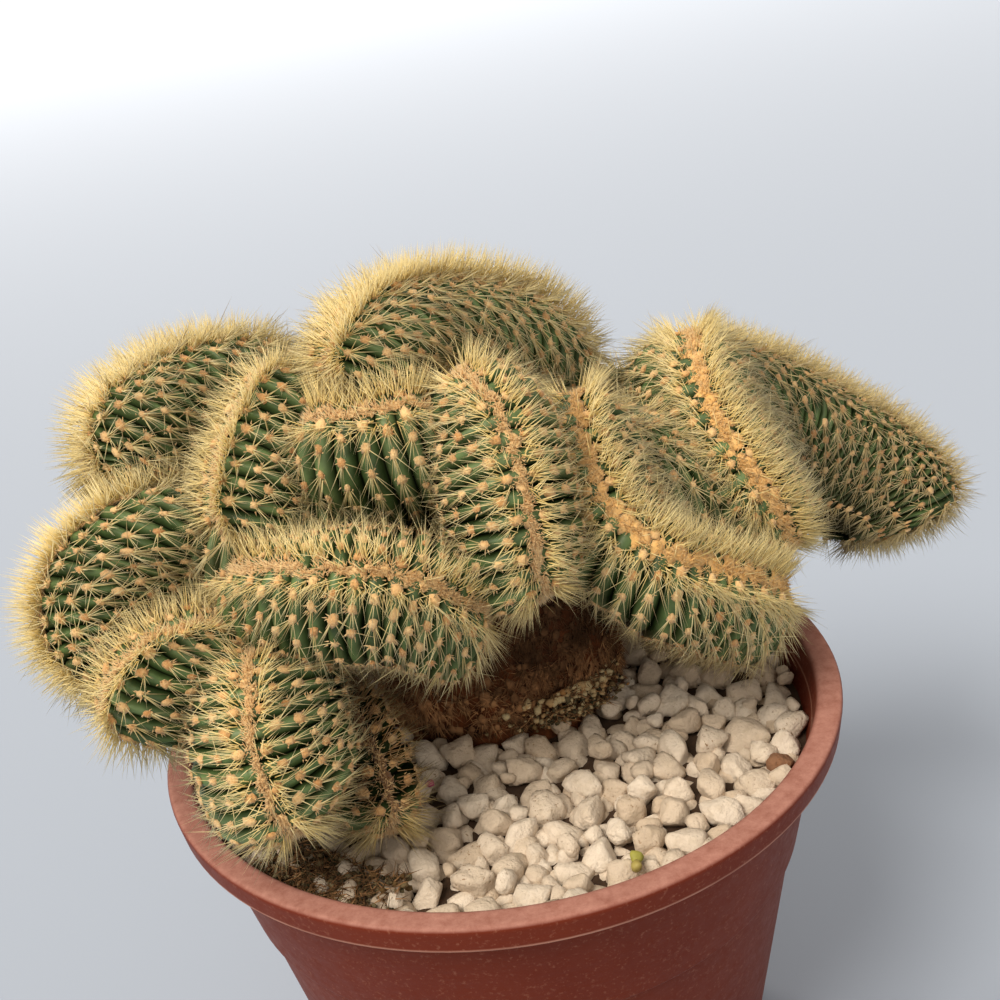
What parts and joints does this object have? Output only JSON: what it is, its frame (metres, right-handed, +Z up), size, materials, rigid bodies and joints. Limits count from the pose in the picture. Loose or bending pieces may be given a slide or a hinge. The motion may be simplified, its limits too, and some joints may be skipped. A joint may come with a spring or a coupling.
{
  "type": "potted crested cactus",
  "caption": "Crested cactus whose spiny ribbed crest folds back and forth over a short stem, in a round tapered pot topped with pale pumice grit.",
  "frame": {"origin": "centre of the pot's flat foot, on the surface it stands on", "axes": "+Z up along the pot's axis; -Y towards the viewer of the picture; +X to the viewer's right"},
  "size_m": [0.2394, 0.1717, 0.2305],
  "materials": {
    "pot": "terracotta-coloured moulded plastic, satin",
    "soil": "dark crumbly potting mix",
    "pumice": "pale buff pumice, dull and porous",
    "cactus": "waxy dark green skin under dense straw-coloured spines and orange-tan wool"
  },
  "bodies": {
    "root": {"pot": "pot", "soil": "soil", "pumice": "pumice", "cactus": "cactus"}
  },
  "joints": []
}
